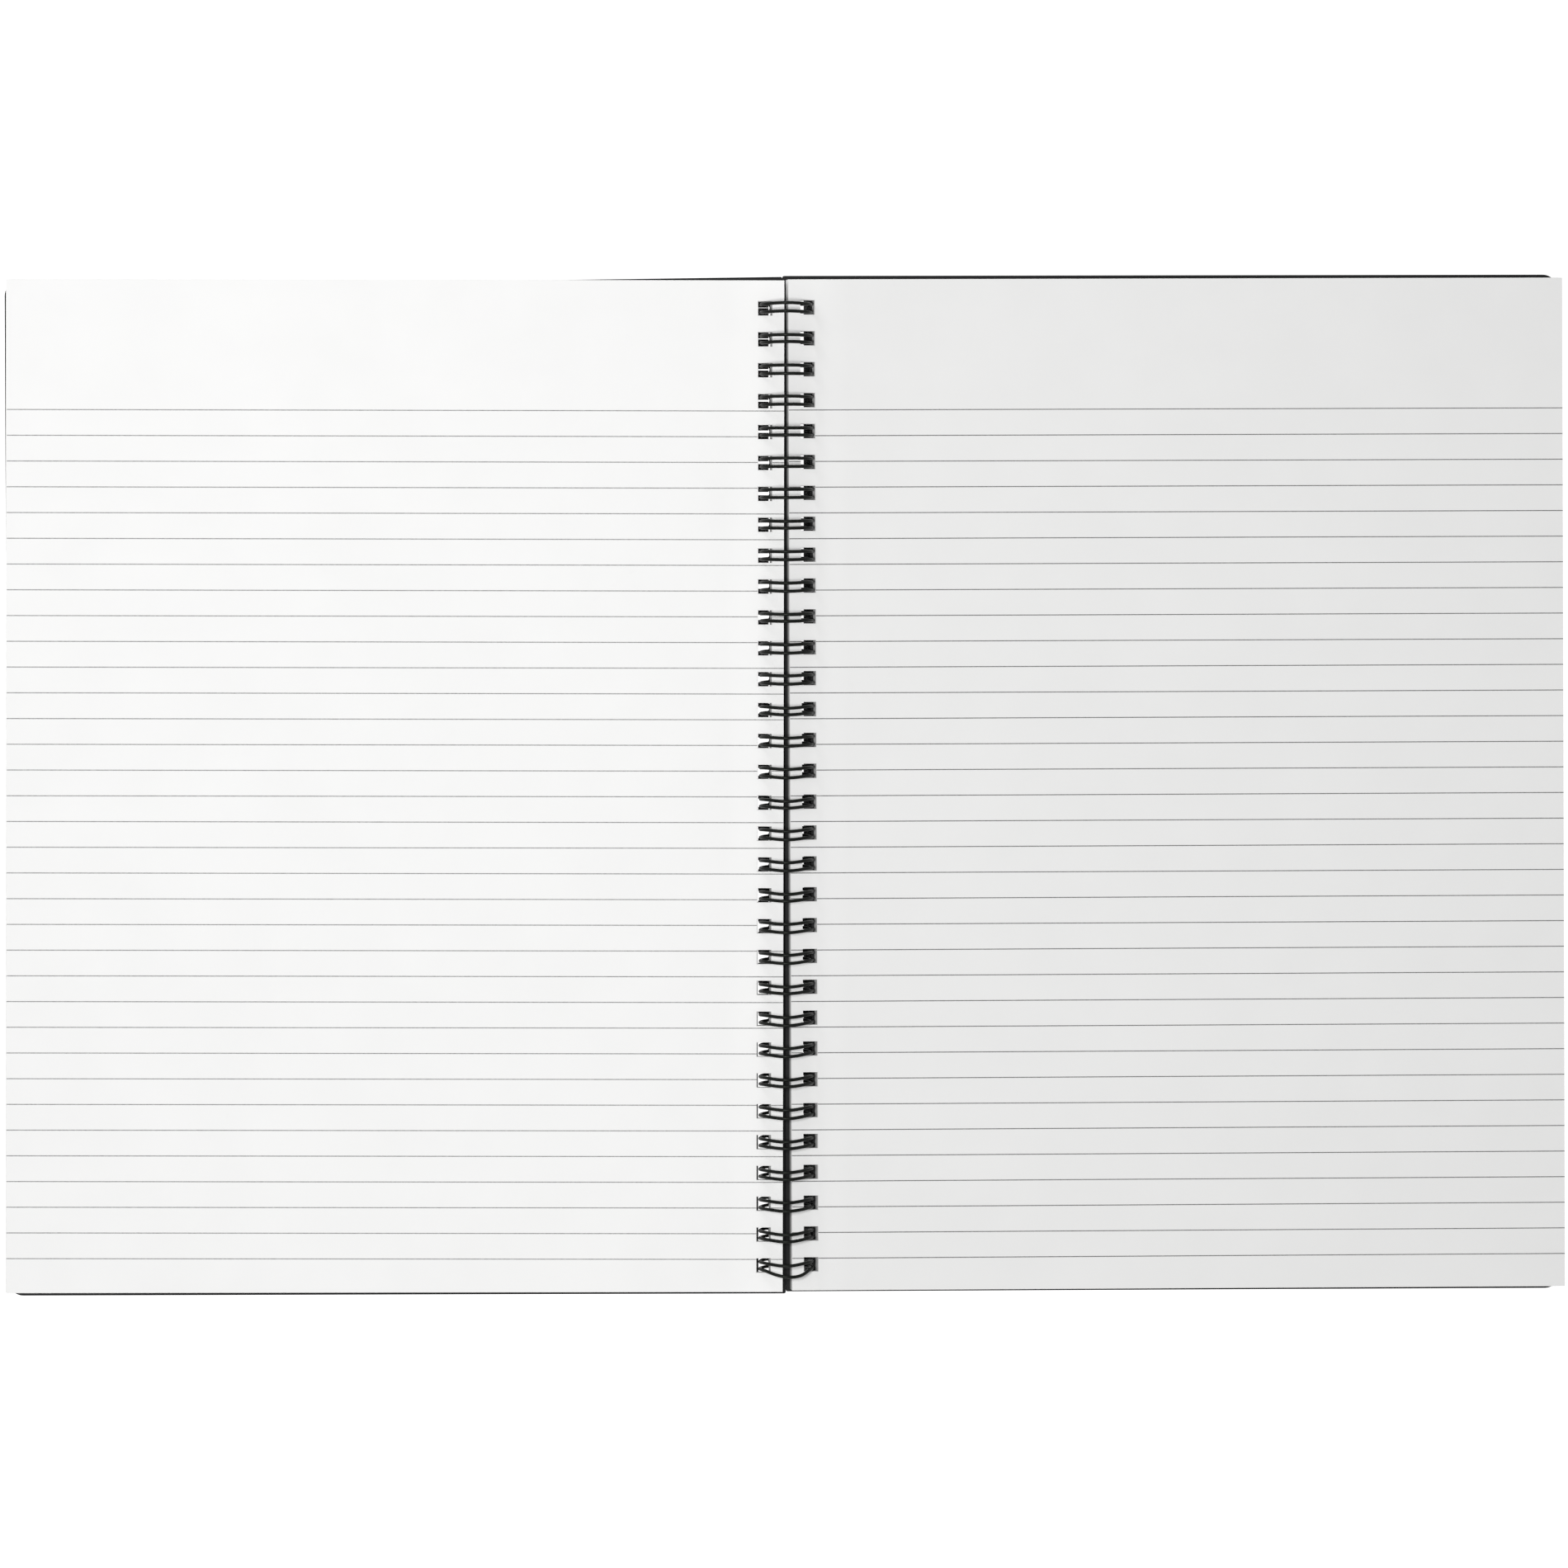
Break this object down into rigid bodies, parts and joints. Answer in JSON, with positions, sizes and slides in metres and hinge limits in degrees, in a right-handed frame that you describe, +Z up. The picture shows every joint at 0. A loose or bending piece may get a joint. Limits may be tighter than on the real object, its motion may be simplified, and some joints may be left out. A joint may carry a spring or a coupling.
{
  "type": "open wire-bound notebook",
  "caption": "Ruled notebook lying open: black covers and two stacks of punched white sheets, hinged on a black twin-loop wire.",
  "frame": {"origin": "on the table, in the middle of the open notebook, below the centre line of the wire loops", "axes": "+X toward the fore edge of the right page, +Y toward the head of the pages, +Z up; the loops' centre line runs along Y, 7.45 mm above the origin"},
  "size_m": [0.4289, 0.2808, 0.0149],
  "materials": {
    "cover_board": "matte",
    "left_paper": "matte",
    "right_paper": "matte",
    "wire": "gloss"
  },
  "bodies": {
    "binding": {"twin_loop_wire": "wire"},
    "front_half": {"front_cover": "cover_board", "left_pages": "left_paper"},
    "back_half": {"back_cover": "cover_board", "right_pages": "right_paper"}
  },
  "joints": [
    {"name": "front_half_turn", "type": "hinge", "parent": "binding", "child": "front_half", "pos_m": [0, 0, 0.00745], "axis": [0, 1, 0], "range_deg": [0, 181.2]},
    {"name": "back_half_turn", "type": "hinge", "parent": "binding", "child": "back_half", "pos_m": [0, 0, 0.00745], "axis": [0, -1, 0], "range_deg": [0, 181.2]}
  ]
}
